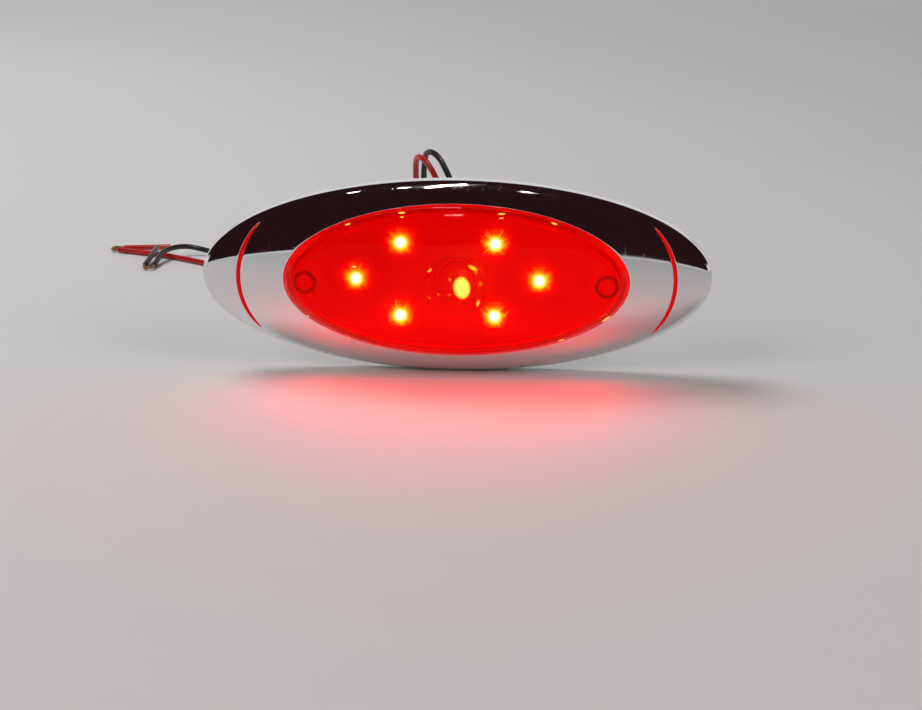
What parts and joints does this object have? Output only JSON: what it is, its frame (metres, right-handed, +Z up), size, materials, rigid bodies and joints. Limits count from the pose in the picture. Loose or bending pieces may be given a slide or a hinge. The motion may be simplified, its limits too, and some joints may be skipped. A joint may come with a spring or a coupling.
{
  "type": "trailer tail light",
  "caption": "Oval surface-mount LED tail light with a domed red lens, a push-on chrome bezel with two light slots, and two free leads.",
  "frame": {"origin": "middle of the mounting face, halfway between the two mounting screw holes", "axes": "+X along the lamp, to the right as seen from the front; +Y out of the back, square to the mounting face, with the lens facing -Y; +Z up"},
  "size_m": [0.2212, 0.1645, 0.0657],
  "materials": {
    "chrome": "bright plated",
    "red_lens": "polished translucent",
    "optic": "polished clear",
    "silicone": "satin",
    "housing": "fine moulded texture",
    "gasket_rubber": "matt",
    "board": "satin red solder mask",
    "led_epoxy": "clear, lit",
    "solder": "bright",
    "chip_black": "matt",
    "screw_steel": "zinc plated",
    "resin": "poured",
    "red_pvc": "satin",
    "black_pvc": "satin",
    "copper": "bright strands"
  },
  "bodies": {
    "lamp": {"lens": "red_lens", "center_optic": "optic", "lens_seal": "silicone", "base_housing": "housing", "mounting_gasket": "gasket_rubber", "circuit_board": "board", "led_1": "led_epoxy", "led_2": "led_epoxy", "led_3": "led_epoxy", "led_4": "led_epoxy", "led_5": "led_epoxy", "led_6": "led_epoxy", "led_center": "led_epoxy", "led_solder": "solder", "resistor_1": "chip_black", "resistor_2": "chip_black", "resistor_3": "chip_black", "rectifier_diode": "chip_black", "board_screws": "screw_steel", "lead_solder": "solder", "potting": "resin", "wire_grommet": "gasket_rubber", "red_lead_inner": "red_pvc", "black_lead_inner": "black_pvc", "red_lead": "red_pvc", "red_strands": "copper", "red_end": "red_pvc", "black_lead": "black_pvc", "black_strands": "copper", "black_end": "black_pvc"},
    "bezel": {"chrome_bezel": "chrome"}
  },
  "joints": [
    {"name": "bezel_pull", "type": "slide", "parent": "lamp", "child": "bezel", "axis": [0, -1, 0], "range_m": [0, 0.03]}
  ]
}
